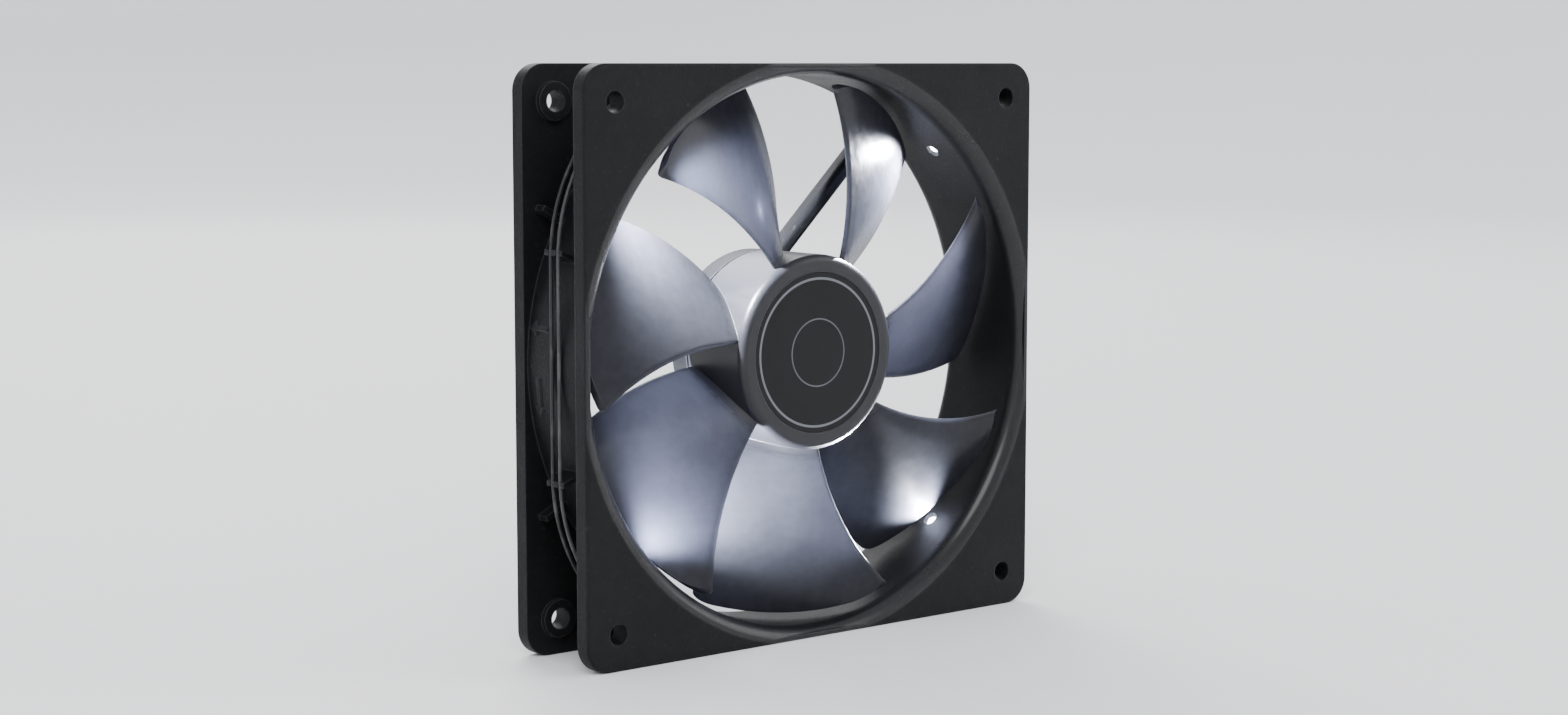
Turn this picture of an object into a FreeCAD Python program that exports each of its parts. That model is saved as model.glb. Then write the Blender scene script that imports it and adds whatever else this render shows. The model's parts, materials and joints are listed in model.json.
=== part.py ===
"""A 120 mm computer case fan with four white LEDs, as an assembly of its separate pieces.

The fan stands upright. Its axis lies along Y, the intake side faces -Y, and the exhaust side, with the
struts and the motor base, faces +Y. Z is up, and the origin is the centre of the frame. Angles are in
degrees in the XZ plane, from +X towards +Z, which is anticlockwise seen from the intake side, the way the
impeller runs. Units are millimetres.

The frame is one moulding: two square flanges, a round duct, four struts and the motor base. A brass tube is
pressed into the base and carries the wound stator outside and the sleeve bearing inside. The impeller
moulding holds a steel yoke with a magnet ring, and a brass boss that grips the shaft. Four LEDs sit in
bosses in the open corners and shine inwards through the duct wall. Two thin wires feed them from the
circuit board, along the widest strut, whose channel also has room for the fan's three-wire supply lead.
"""

import FreeCAD
import Part

import math
import os

V = FreeCAD.Vector
AXIS = V(0, 1, 0)
CORNERS = (45, 135, 225, 315)
POLES = (0, 90, 180, 270)

# Pieces that are fused reach this far into each other, and cutters run this far past what they cut.
SINK = 0.5
PAST = 1.0

# Frame
SIZE = 120.0
DEPTH = 25.0
HALF = SIZE / 2
FRONT = -DEPTH / 2
REAR = DEPTH / 2
CORNER_R = 5.5
HOLE_PITCH = 105.0
HOLE_R = 2.15
FLANGE_T = 3.6
DUCT_R = 57.75
DUCT_WALL = 1.35
DUCT_OUT_R = DUCT_R + DUCT_WALL
LIP_R = 3.3
LIP_HALF = 58.9
LIP_CORNER_R = 20.0
EDGE_R = 0.5
SCREW_SEAT_R = 3.9
SCREW_SEAT_T = 1.1
RIB_TURN = 16
RIB_LENGTH = 6.5
RIB_H = 2.6
RIB_T = 1.2
ARROW_RAISE = 0.35

# Motor base and struts, at the exhaust side
BASE_R = 20.5
BASE_FRONT = 9.7
BASE_RIM_FRONT = 7.3
BASE_RIM_T = 1.3
SOCKET_FRONT = 5.6
SOCKET_R = 6.8
POST_ANGLES = (30, 195, 285)
POST_PLACE_R = 13.0
POST_R = 1.2
STRUT_OFFSET = 9.0
STRUT_ROOT = 13.0
STRUT_END = DUCT_R + LIP_R + SINK
STRUT_W = 3.4
STRUT_FRONT = 8.9
STRUT_ROUND = 1.2
CHANNEL_STRUT_W = 7.6
CHANNEL_W = 5.2
CHANNEL_FLOOR = 10.2
WIRE_HOLE_HALF = 1.3
LABEL_T = 0.15
LABEL_RECESS = 0.3
LABEL_GAP = 0.1
BASE_LABEL_R = 18.4

# Impeller
BLADES = 7
BLADE_TIP_R = 56.3
BLADE_FRONT = -10.9
BLADE_REAR = 7.3
HUB_R = 20.5
HUB_FRONT = -11.4
HUB_REAR = 6.6
HUB_WALL = 1.35
HUB_PLATE = 1.65
HUB_ROUND = 1.6
HUB_LABEL_R = 16.8

# Blade shape, each pair at the hub and at the tip
BLADE_HALF_CHORD = (6.4, 21.8)
BLADE_LEAD_Y = (-9.7, -10.7)
BLADE_TRAIL_Y = (5.7, 7.0)
BLADE_CAMBER = (1.7, 2.2)
BLADE_HALF_T = (0.95, 0.75)
BLADE_SWEEP = 16.0
BLADE_CORNER_R = 3.0

# Rotor
YOKE_R = 19.1
YOKE_T = 0.9
YOKE_REAR = 5.5
MAGNET_IN_R = 16.4
MAGNET_FRONT = -6.3
MAGNET_REAR = 4.6
BOSS_NECK_R = 3.0
BOSS_R = 4.6
BOSS_TAIL_R = 3.6
SHAFT_R = 1.5
SHAFT_REAR = 9.25
GROOVE_R = 1.2
GROOVE_FRONT = 7.88
GROOVE_W = 0.44
WASHER_R = 3.2
WASHER_T = 0.3
RETAINER_R = 2.9
RETAINER_T = 0.36

# Bearing
TUBE_R = 4.6
TUBE_IN_R = 3.9
TUBE_FRONT = -6.6
TUBE_REAR = 11.2
BEARING_BORE_R = 1.53
BEARING_FRONT = -5.9
BEARING_REAR = 7.4
BEARING_CHAMFER = 0.3
PAD_GAP = 0.05
PAD_T = 0.6

# Stator
CORE_R = 15.9
CORE_FRONT = -5.0
CORE_REAR = 3.0
SPOKE_W = 3.6
SHOE_T = 2.3
SLOT_W = 3.2
INSULATOR_T = 0.7
SKIRT_T = 0.6
COIL_T = 1.5
COIL_IN_R = 7.4
COIL_OUT_R = 12.4
COIL_HALF_W = 4.4
CORE_HUB_R = 6.6
COLLAR_R = 7.1

# Circuit board
PIN_ANGLES = (70, 160, 250)
PIN_PLACE_R = 14.3
PIN_R = 0.3
CHIP_ANGLE = 135
BOARD_R = 15.6
BOARD_FRONT = 6.4
BOARD_T = 1.0
BOARD_REAR = BOARD_FRONT + BOARD_T

# LEDs and their wires
COMB_TURN = 24
COMB_HALF = 2.9
COMB_T = 1.0
LED_BOSS_R = 2.9
LED_WEB_T = 1.4
LED_Y = -1.5
LED_R = 1.5
LED_TIP = 58.1
LED_SEAT = 62.5
LED_FLANGE_R = 1.9
LED_BACK = 63.5
LEG_PITCH = 2.54
LEG_R = 0.25
SLEEVE_R = 0.62
WIRE_R = 0.375
WIRE_HALF = 59.52
WIRE_CORNER_R = 38.0
WIRE_ROUND = WIRE_HALF - WIRE_CORNER_R
WIRE_REACH = math.sqrt(2) * WIRE_ROUND + WIRE_CORNER_R
FEED_RUN = 8.0
FEED_PITCH = 1.0
FEED_SIDE = 1.3
FEED_Y = 11.2
FEED_START = 9.0
FEED_RISE = 13.2
FEED_BEND = 0.85

# The strut that carries the wires points at the place where they drop to the corner LED.
DROP_R = math.hypot(WIRE_REACH, FEED_RUN)
DROP_ANGLE = -45 + math.degrees(math.atan2(FEED_RUN, WIRE_REACH))
STRUT_ANGLE = DROP_ANGLE - math.degrees(math.asin(STRUT_OFFSET / DROP_R))
DROP_S = math.sqrt(DROP_R**2 - STRUT_OFFSET**2)


# Helpers


def polar(r, angle, y=0.0):
    """The point at radius r and that angle round the fan's axis, at depth y."""
    a = math.radians(angle)
    return V(r * math.cos(a), y, r * math.sin(a))


def turned_to(shape, angle):
    """A copy of the shape, turned anticlockwise about the fan's axis as seen from the intake side."""
    copy = shape.copy()
    copy.rotate(V(0, 0, 0), AXIS, -angle)
    return copy


def rod(r, y0, y1, at=V(0, 0, 0)):
    """A cylinder along the fan's axis from depth y0 to y1."""
    return Part.makeCylinder(r, y1 - y0, V(at.x, y0, at.z), AXIS)


def ring(r_out, r_in, y0, y1):
    return rod(r_out, y0, y1).cut(rod(r_in, y0 - PAST, y1 + PAST))


def spoke(r, angle, r0, r1, y):
    """A cylinder along a radius, from r0 to r1."""
    return Part.makeCylinder(r, r1 - r0, polar(r0, angle, y), polar(1, angle))


def block(x0, x1, y0, y1, z0, z1):
    return Part.makeBox(x1 - x0, y1 - y0, z1 - z0, V(x0, y0, z0))


def lathe(edges):
    """The solid swept by a closed outline of edges in the XY plane, turned about the fan's axis."""
    face = Part.Face(Part.Wire(Part.__sortEdges__(edges)))
    return face.revolve(V(0, 0, 0), AXIS, 360)


def lathe_points(points):
    """The same for a plain outline of (radius, depth) points."""
    corners = [V(r, y, 0) for r, y in points]
    return Part.Face(Part.makePolygon(corners + corners[:1])).revolve(V(0, 0, 0), AXIS, 360)


def arc(a, middle, b):
    return Part.Arc(a, middle, b).toShape()


def between(pair, share):
    """The value that far from the first of the pair to the second."""
    return pair[0] + (pair[1] - pair[0]) * share


def edges_at(shape, y):
    """The shape's edges that lie in the plane at that depth."""
    found = []
    for edge in shape.Edges:
        box = edge.BoundBox
        if abs(box.YMin - y) < 1e-4 and abs(box.YMax - y) < 1e-4:
            found.append(edge)
    return found


def long_edges(shape):
    """The shape's edges that run along the fan's axis."""
    return [e for e in shape.Edges if e.BoundBox.XLength < 1e-6 and e.BoundBox.ZLength < 1e-6]


def rounded_square(half, corner_r, y0, y1):
    solid = block(-half, half, y0, y1, -half, half)
    return solid.makeFillet(corner_r, long_edges(solid))


def fused(shapes):
    return shapes[0].multiFuse(shapes[1:]).removeSplitter()


def rounded_path(points, bend):
    """Straight runs through the points, joined by tangent arcs of radius bend, or less in short runs."""
    edges = []
    start = points[0]
    for before, corner, after in zip(points, points[1:], points[2:]):
        into = corner.sub(before)
        out = after.sub(corner)
        half_turn = into.getAngle(out) / 2
        room = 0.45 * min(into.Length, out.Length) / math.tan(half_turn)
        radius = min(bend, room)
        cut = radius * math.tan(half_turn)
        into.normalize()
        out.normalize()
        a = corner - into * cut
        b = corner + out * cut
        inwards = (out - into).normalize()
        middle = corner + inwards * (radius / math.cos(half_turn) - radius)
        edges.append(Part.makeLine(start, a))
        edges.append(arc(a, middle, b))
        start = b
    edges.append(Part.makeLine(start, points[-1]))
    return edges


def tube(edges, r):
    """A round wire of radius r along the path."""
    path = Part.Wire(edges)
    start = path.Edges[0]
    way = start.tangentAt(start.FirstParameter)
    circle = Part.Wire(Part.makeCircle(r, start.valueAt(start.FirstParameter), way))
    solid = path.makePipeShell([circle], True, False)
    expected = math.pi * r * r * path.Length
    if abs(solid.Volume / expected - 1) > 0.01:
        raise RuntimeError(f"wire volume {solid.Volume:.2f}, expected {expected:.2f}")
    return solid


def on_strut(s, side, y):
    """A point of the wire strut: s along it from the axis, side across it from its middle, at depth y."""
    a = math.radians(STRUT_ANGLE)
    along = V(math.cos(a), 0, math.sin(a))
    across = V(-math.sin(a), 0, math.cos(a))
    return along * s + across * (STRUT_OFFSET + side) + V(0, y, 0)


def strut_block(s0, s1, width, y0, y1):
    """A block along the wire strut's line, which passes STRUT_OFFSET beside the axis."""
    low = STRUT_OFFSET - width / 2
    return turned_to(block(s0, s1, y0, y1, low, low + width), STRUT_ANGLE)


# Frame moulding


def lip_cutter(face, inwards):
    """Cuts the rounded lip of the duct at one face. It is full in the corners and clipped at the flats."""
    throat = face + inwards * LIP_R
    out = face - inwards
    middle = LIP_R * math.sqrt(0.5)
    a = V(DUCT_R, throat, 0)
    b = V(DUCT_R + LIP_R, face, 0)
    top = V(DUCT_R + LIP_R - middle, throat - inwards * middle, 0)
    c = V(DUCT_R + LIP_R, out, 0)
    d = V(DUCT_R - PAST, out, 0)
    e = V(DUCT_R - PAST, throat, 0)
    outline = [arc(a, top, b)]
    for p, q in ((b, c), (c, d), (d, e), (e, a)):
        outline.append(Part.makeLine(p, q))
    low, high = min(throat, out), max(throat, out)
    return lathe(outline).common(rounded_square(LIP_HALF, LIP_CORNER_R, low - PAST, high + PAST))


def flange(face, inwards):
    """One square flange, its outer edge slightly rounded, with a stiffening ring round each screw hole."""
    inner = face + inwards * FLANGE_T
    plate = rounded_square(HALF, CORNER_R, min(face, inner), max(face, inner))
    plate = plate.makeFillet(EDGE_R, edges_at(plate, face))
    low, high = sorted((inner - inwards * SINK, inner + inwards * SCREW_SEAT_T))
    pieces = [plate]
    for angle in CORNERS:
        pieces.append(rod(SCREW_SEAT_R, low, high, polar(HOLE_PITCH / math.sqrt(2), angle)))
    return pieces


def corner_ribs(inner, inwards):
    """Two thin ribs beside each corner's diagonal that stiffen a flange against the duct wall."""
    ribs = []
    foot = DUCT_R + SINK
    low, high = sorted((inner - inwards * SINK, inner + inwards * RIB_H))
    for angle in CORNERS:
        for side in (-RIB_TURN, RIB_TURN):
            rib = block(foot, foot + RIB_LENGTH, low, high, -RIB_T / 2, RIB_T / 2)
            ribs.append(turned_to(rib, angle + side))
    return ribs


def led_boss(angle):
    """The socket that holds one LED, with a web down to the rear flange."""
    foot = DUCT_R + SINK
    boss = spoke(LED_BOSS_R, angle, foot, LED_SEAT, LED_Y)
    web_end = REAR - FLANGE_T + SINK
    web = block(foot, LED_SEAT - SINK, LED_Y + LED_R, web_end, -LED_WEB_T / 2, LED_WEB_T / 2)
    return [boss, turned_to(web, angle)]


def strut(angle):
    """One flat strut from the motor base to the rear flange, rounded on the side that faces the blades."""
    low = STRUT_OFFSET - STRUT_W / 2
    bar = block(STRUT_ROOT, STRUT_END, STRUT_FRONT, REAR, low, low + STRUT_W)
    noses = [e for e in edges_at(bar, STRUT_FRONT) if e.BoundBox.XLength > STRUT_W]
    return turned_to(bar.makeFillet(STRUT_ROUND, noses), angle)


def wire_strut():
    """The wider strut that holds the wires, before its channel is cut."""
    return strut_block(STRUT_ROOT, STRUT_END, CHANNEL_STRUT_W, STRUT_FRONT, REAR)


def wire_channel():
    """What the wires' route takes out of the frame: the channel, and a hole at each of its ends."""
    cuts = [strut_block(FEED_RISE, DROP_S, CHANNEL_W, CHANNEL_FLOOR, REAR + PAST)]
    for s in (FEED_RISE, DROP_S):
        low = STRUT_FRONT - PAST
        cuts.append(strut_block(s - WIRE_HOLE_HALF, s + WIRE_HOLE_HALF, CHANNEL_W, low, REAR + PAST))
    return cuts


def wire_comb(angle):
    """A thin plate on the duct wall with two open notches that the LED wires lie in."""
    off = math.radians(COMB_TURN)
    reach = math.sqrt(2) * WIRE_ROUND
    wire_r = reach * math.cos(off) + math.sqrt(WIRE_CORNER_R**2 - (reach * math.sin(off)) ** 2)
    far = HALF * math.sqrt(2)
    plate = block(DUCT_R + SINK, far, LED_Y - COMB_HALF, LED_Y + COMB_HALF, -COMB_T / 2, COMB_T / 2)
    half = WIRE_R + 0.05
    for y in leg_depths():
        plate = plate.cut(block(wire_r - 2 * WIRE_R, far + PAST, y - half, y + half, -COMB_T, COMB_T))
    return turned_to(plate, angle).common(rounded_square(HALF - 0.1, CORNER_R, FRONT, REAR))


def motor_base():
    """The round plate behind the motor: its rim, the bearing tube's socket and the board's posts."""
    plate = rod(BASE_R, BASE_FRONT, REAR)
    plate = plate.makeFillet(EDGE_R, edges_at(plate, REAR))
    inner = BASE_FRONT + SINK
    rim = ring(BASE_R, BASE_R - BASE_RIM_T, BASE_RIM_FRONT, inner)
    pieces = [plate, rim, rod(SOCKET_R, SOCKET_FRONT, inner)]
    for angle in POST_ANGLES:
        pieces.append(rod(POST_R, BOARD_REAR, inner, polar(POST_PLACE_R, angle)))
    return pieces


def side_arrow(points):
    """A low raised arrow on the left side of the duct, with an outline of (depth, height) points."""
    corners = [V(-HALF, y, z) for y, z in points]
    solid = Part.Face(Part.makePolygon(corners + corners[:1])).extrude(V(HALF / 2, 0, 0))
    return solid.common(ring(DUCT_OUT_R + ARROW_RAISE, DUCT_OUT_R - SINK, FRONT, REAR))


def arrow_points(y, z, length, along):
    """A plain arrow about (y, z) that points down, or in along the air's way, as (depth, height) points."""
    half, head, stem = 1.5, 2.2, 0.45
    tip, neck, tail = length / 2, length / 2 - head, -length / 2
    right = [(half, neck), (stem, neck), (stem, tail)]
    outline = [(0, tip)] + right + [(-a, b) for a, b in reversed(right)]
    if along == "down":
        return [(y + a, z - b) for a, b in outline]
    return [(y + b, z + a) for a, b in outline]


def frame():
    pieces = [rod(DUCT_OUT_R, FRONT, REAR)]
    for face, inwards in ((FRONT, 1), (REAR, -1)):
        pieces += flange(face, inwards)
        pieces += corner_ribs(face + inwards * FLANGE_T, inwards)
    for angle in CORNERS:
        pieces += led_boss(angle)
        pieces += [wire_comb(angle - COMB_TURN), wire_comb(angle + COMB_TURN)]
    body = fused(pieces)

    cuts = [rod(DUCT_R, FRONT - PAST, REAR + PAST), lip_cutter(FRONT, 1), lip_cutter(REAR, -1)]
    for angle in CORNERS:
        hole = polar(HOLE_PITCH / math.sqrt(2), angle)
        cuts.append(rod(HOLE_R, FRONT - PAST, REAR + PAST, hole))
        cuts.append(spoke(LED_R + 0.05, angle, DUCT_R - PAST, LED_SEAT + PAST, LED_Y))
    body = body.cut(cuts)

    arrows = [
        side_arrow(arrow_points(5.2, 7.5, 6.0, "in")),
        side_arrow(arrow_points(5.2, -6.5, 8.0, "down")),
    ]
    struts = [strut(STRUT_ANGLE + turn) for turn in (90, 180, 270)]
    body = fused([body] + arrows + struts + [wire_strut()] + motor_base())

    cuts = wire_channel()
    cuts.append(rod(BASE_LABEL_R + LABEL_GAP, REAR - LABEL_RECESS, REAR + PAST))
    cuts.append(rod(TUBE_R, SOCKET_FRONT - PAST, REAR + PAST))
    return body.cut(cuts).removeSplitter()


# Impeller moulding


def blade_section(d):
    """The blade's closed outline in the plane at distance d from the axis.

    Across the plane the blade runs from its leading edge, ahead and at the intake side, to its trailing
    edge. Its middle line bulges to the intake side, and its ends are rounded.
    """
    grown = (d - HUB_R) / (BLADE_TIP_R - HUB_R)
    half_chord = between(BLADE_HALF_CHORD, grown)
    lead_y = between(BLADE_LEAD_Y, grown)
    trail_y = between(BLADE_TRAIL_Y, grown)
    camber = between(BLADE_CAMBER, grown)
    half_thick = between(BLADE_HALF_T, grown)
    sweep = BLADE_SWEEP * max(0.0, grown) ** 1.3

    def at(t, side):
        """The point at the share t of the chord, half a thickness to one side of the middle line."""
        along = V(0, trail_y - lead_y - 4 * camber * (1 - 2 * t), -2 * half_chord)
        along.normalize()
        lift = side * half_thick * (4 * t * (1 - t)) ** 0.25
        y = between((lead_y, trail_y), t) - 4 * camber * t * (1 - t)
        return V(d, y, half_chord * (1 - 2 * t)) + V(0, -along.z, along.y) * lift

    steps = 12
    shares = [(1 - math.cos(math.pi * i / steps)) / 2 for i in range(steps + 1)]
    sides = []
    for side in (1, -1):
        curve = Part.BSplineCurve()
        curve.interpolate([at(t, side) for t in shares])
        sides.append(curve.toShape())
    return turned_to(Part.Wire(sides), sweep)


def blade():
    """One blade, cut to length between the hub wall and the tip, with the tip's corners rounded."""
    sections = [blade_section(d) for d in (15, 21, 30, 40, 50, 61)]
    loft = Part.makeLoft(sections, True, False)
    room = rod(BLADE_TIP_R, BLADE_FRONT, BLADE_REAR)
    room = room.makeFillet(BLADE_CORNER_R, edges_at(room, BLADE_FRONT) + edges_at(room, BLADE_REAR))
    return loft.common(room.cut(rod(HUB_R - SINK, FRONT, REAR)))


def hub():
    """The closed cup in the middle, with a recess for its label and a rounded front edge."""
    cup = rod(HUB_R, HUB_FRONT, HUB_REAR)
    cup = cup.makeFillet(HUB_ROUND, edges_at(cup, HUB_FRONT))
    cup = cup.cut(rod(HUB_R - HUB_WALL, HUB_FRONT + HUB_PLATE, HUB_REAR + PAST))
    return cup.cut(rod(HUB_LABEL_R + LABEL_GAP, HUB_FRONT - PAST, HUB_FRONT + LABEL_RECESS))


def impeller():
    one = blade()
    turn = 360 / BLADES
    return fused([hub()] + [turned_to(one, turn * k) for k in range(BLADES)])


# Rotor


def rotor_yoke():
    """The deep-drawn steel cup inside the hub that carries the magnet."""
    plate_front = HUB_FRONT + HUB_PLATE + 0.05
    cup = rod(YOKE_R, plate_front, YOKE_REAR)
    cup = cup.makeFillet(1.0, edges_at(cup, plate_front))
    cup = cup.cut(rod(YOKE_R - YOKE_T, plate_front + YOKE_T, YOKE_REAR + PAST))
    return cup.cut(rod(BOSS_NECK_R, plate_front - PAST, plate_front + YOKE_T + PAST))


def rotor_magnet():
    return ring(YOKE_R - YOKE_T, MAGNET_IN_R, MAGNET_FRONT, MAGNET_REAR)


def shaft_boss():
    """The turned brass boss, staked in the yoke's plate, that the shaft is pressed into."""
    front = HUB_FRONT + HUB_PLATE + 0.1
    shoulder = HUB_FRONT + HUB_PLATE + 0.05 + YOKE_T
    return lathe_points(
        [
            (SHAFT_R, front),
            (BOSS_NECK_R, front),
            (BOSS_NECK_R, shoulder),
            (BOSS_R, shoulder),
            (BOSS_R, shoulder + 0.6),
            (BOSS_TAIL_R, shoulder + 0.6),
            (BOSS_TAIL_R, shoulder + 1.4),
            (BOSS_TAIL_R - 0.4, shoulder + 1.65),
            (SHAFT_R, shoulder + 1.65),
        ]
    )


def shaft():
    """The hardened shaft, with a groove for its retaining ring and a rounded end on the thrust pad."""
    front = HUB_FRONT + HUB_PLATE + 0.1
    pin = rod(SHAFT_R, front, SHAFT_REAR)
    pin = pin.makeFillet(0.6, edges_at(pin, SHAFT_REAR))
    groove = ring(SHAFT_R + PAST, GROOVE_R, GROOVE_FRONT, GROOVE_FRONT + GROOVE_W)
    return pin.cut(groove)


def washer(front):
    return ring(WASHER_R, SHAFT_R, front, front + WASHER_T)


def retaining_ring():
    """An open ring that snaps into the shaft's groove behind the bearing."""
    middle = GROOVE_FRONT + GROOVE_W / 2
    whole = ring(RETAINER_R, GROOVE_R, middle - RETAINER_T / 2, middle + RETAINER_T / 2)
    mouth = 0.6 * GROOVE_R
    return whole.cut(block(0, RETAINER_R + PAST, middle - PAST, middle + PAST, -mouth, mouth))


# Bearing


def sleeve_bearing():
    """The sintered bush, with chamfered ends."""
    front, rear, edge = BEARING_FRONT, BEARING_REAR, BEARING_CHAMFER
    return lathe_points(
        [
            (BEARING_BORE_R + edge, front),
            (TUBE_IN_R - edge, front),
            (TUBE_IN_R, front + edge),
            (TUBE_IN_R, rear - edge),
            (TUBE_IN_R - edge, rear),
            (BEARING_BORE_R + edge, rear),
            (BEARING_BORE_R, rear - edge),
            (BEARING_BORE_R, front + edge),
        ]
    )


def thrust_pad():
    front = SHAFT_REAR + PAD_GAP
    return rod(TUBE_IN_R, front, front + PAD_T)


def end_plug():
    """The plug that closes the bearing tube, with a dimple at the rear."""
    dimple_r, dimple_depth = 1.2, 0.5
    plug = rod(TUBE_IN_R, SHAFT_REAR + PAD_GAP + PAD_T, TUBE_REAR)
    return plug.cut(rod(dimple_r, TUBE_REAR - dimple_depth, TUBE_REAR + PAST))


# Stator


def star(hub_r, spoke_w, shoe_in, shoe_out, y0, y1):
    """The four-pole outline of the core and its insulators: a hub, four spokes and four pole shoes."""
    pieces = [rod(hub_r, y0, y1)]
    for angle in POLES:
        bar = block(0, shoe_in + SINK, y0, y1, -spoke_w / 2, spoke_w / 2)
        pieces.append(turned_to(bar, angle))
    shoes = ring(shoe_out, shoe_in, y0, y1)
    for angle in CORNERS:
        gap = block(0, shoe_out + PAST, y0 - PAST, y1 + PAST, -SLOT_W / 2, SLOT_W / 2)
        shoes = shoes.cut(turned_to(gap, angle))
    return fused(pieces + [shoes]).cut(rod(TUBE_R, y0 - PAST, y1 + PAST))


def stator_core():
    return star(CORE_HUB_R, SPOKE_W, CORE_R - SHOE_T, CORE_R, CORE_FRONT, CORE_REAR)


def insulator(face, outwards, foot=0.0):
    """One bobbin half: a plate on the core's face, lips that hold the coils, and skirts down the spokes."""
    outer = face + outwards * INSULATOR_T
    low, high = sorted((face, outer))
    shoe_in = CORE_R - SHOE_T - 0.3
    body = star(COLLAR_R, SPOKE_W + 2 * SKIRT_T, shoe_in, CORE_R - 0.3, low, high)
    lip_low, lip_high = sorted((outer - outwards * 0.2, outer + outwards * COIL_T))
    lips = ring(CORE_R - 0.6, CORE_R - 1.5, lip_low, lip_high)
    lip_gap = COIL_HALF_W - 0.4
    for angle in CORNERS:
        gap = block(0, CORE_R + PAST, lip_low - PAST, lip_high + PAST, -lip_gap, lip_gap)
        lips = lips.cut(turned_to(gap, angle))
    collar = ring(COLLAR_R, COLLAR_R - 0.9, lip_low, lip_high)
    pieces = [body, lips, collar]
    middle = (CORE_FRONT + CORE_REAR) / 2
    skirt_low, skirt_high = sorted((middle + outwards * 0.1, face + outwards * 0.2))
    for angle in POLES:
        for side in (-1, 1):
            z0, z1 = sorted((side * (SPOKE_W / 2 + 0.02), side * (SPOKE_W / 2 + SKIRT_T)))
            skirt = block(COLLAR_R - 0.2, shoe_in - 0.05, skirt_low, skirt_high, z0, z1)
            pieces.append(turned_to(skirt, angle))
    if foot:
        pieces.append(ring(CORE_HUB_R, TUBE_R, high - 0.2, high + foot))
    return fused(pieces).cut(winding_pins())


def coil(angle):
    """One winding round a spoke of the core, over its insulators."""
    front = CORE_FRONT - INSULATOR_T
    rear = CORE_REAR + INSULATOR_T
    outer = block(COIL_IN_R, COIL_OUT_R, front - COIL_T, rear + COIL_T, -COIL_HALF_W, COIL_HALF_W)
    along = [e for e in outer.Edges if e.BoundBox.YLength < 1e-6 and e.BoundBox.ZLength < 1e-6]
    outer = outer.makeFillet(1.4, along)
    gap = 0.03
    window = SPOKE_W / 2 + SKIRT_T + gap
    inner = block(COIL_IN_R - PAST, COIL_OUT_R + PAST, front - gap, rear + gap, -window, window)
    return turned_to(outer.cut(inner), angle)


def winding_pins():
    """Three pins that carry the windings' ends from the rear insulator through the board."""
    low, high = CORE_REAR + 0.1, BOARD_REAR + 0.7
    return Part.makeCompound([rod(PIN_R, low, high, polar(PIN_PLACE_R, angle)) for angle in PIN_ANGLES])


# Circuit board


def circuit_board():
    """The round board, with a clear middle and holes for the winding pins."""
    board = ring(BOARD_R, SOCKET_R + 0.2, BOARD_FRONT, BOARD_REAR)
    low, high = BOARD_FRONT - PAST, BOARD_REAR + PAST
    return board.cut([rod(PIN_R + 0.03, low, high, polar(PIN_PLACE_R, angle)) for angle in PIN_ANGLES])


def driver_chip():
    """The moulded driver chip with its magnetic sensor, on the board's motor side under the magnet ring."""
    front = BOARD_FRONT - 1.5
    body = block(12.6, 15.2, front, BOARD_FRONT, -2.0, 2.0)
    body = body.makeChamfer(0.25, edges_at(body, front))
    return turned_to(body, CHIP_ANGLE)


def on_board(shape, r, angle):
    """Moves a shape made about the axis to that place on the board."""
    shape = shape.copy()
    shape.translate(V(r, 0, 0))
    return turned_to(shape, angle)


def capacitor():
    """A low round capacitor on a square foot."""
    half, foot_t, top = 2.1, 0.4, BOARD_REAR + 2.0
    foot = block(-half, half, BOARD_REAR, BOARD_REAR + foot_t, -half, half)
    can = rod(half - 0.2, BOARD_REAR + foot_t / 2, top)
    can = can.makeFillet(0.3, edges_at(can, top))
    return on_board(fused([foot, can]), 11.2, 235)


def diode():
    top = BOARD_REAR + 1.3
    body = block(-1.1, 1.1, BOARD_REAR, top, -1.7, 1.7)
    return on_board(body.makeChamfer(0.25, edges_at(body, top)), 11.0, 60)


def chip_resistors():
    """Four small chip resistors round the board."""
    chips = []
    for angle in (90, 110, 130, 175):
        chip = block(-0.65, 0.65, BOARD_REAR, BOARD_REAR + 0.5, -1.0, 1.0)
        chips.append(on_board(chip, 10.4, angle))
    return Part.makeCompound(chips)


def solder_pads():
    """Five soldered pads: three for the supply lead and two where the LED wires start."""
    pads = []
    top = BOARD_REAR + 0.45
    for angle in (-50, -35, -20):
        bead = rod(0.9, BOARD_REAR, top, polar(12.4, angle))
        pads.append(bead.makeFillet(0.35, edges_at(bead, top)))
    for side in (-1, 1):
        place = on_strut(FEED_START - 1.0, FEED_SIDE + side * FEED_PITCH / 2, 0)
        pads.append(rod(0.45, BOARD_REAR, BOARD_REAR + 0.8, place))
    return Part.makeCompound(pads)


# LEDs and their wires


def led(angle):
    """A 3 mm round LED pointing at the axis, with its flange on the end of the boss."""
    straight = LED_TIP + LED_R
    dome = Part.makeSphere(LED_R, polar(straight, angle, LED_Y))
    body = spoke(LED_R, angle, straight, LED_SEAT + 0.1, LED_Y)
    rim = spoke(LED_FLANGE_R, angle, LED_SEAT, LED_BACK, LED_Y)
    return fused([dome, body, rim])


def leg_depths():
    """The depths of an LED's two legs and of the two wires: positive first."""
    return LED_Y - LEG_PITCH / 2, LED_Y + LEG_PITCH / 2


def led_legs():
    legs = []
    for angle in CORNERS:
        for y in leg_depths():
            legs.append(spoke(LEG_R, angle, LED_BACK, WIRE_REACH - WIRE_R + 0.01, y))
    return Part.makeCompound(legs)


def led_sleeves():
    """Heat-shrink sleeves over the legs."""
    sleeves = []
    for angle in CORNERS:
        for y in leg_depths():
            skin = spoke(SLEEVE_R, angle, LED_BACK + 0.3, WIRE_REACH - WIRE_R - 0.25, y)
            sleeves.append(skin.cut(spoke(LEG_R + 0.02, angle, LED_BACK, WIRE_REACH, y)))
    return Part.makeCompound(sleeves)


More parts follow.
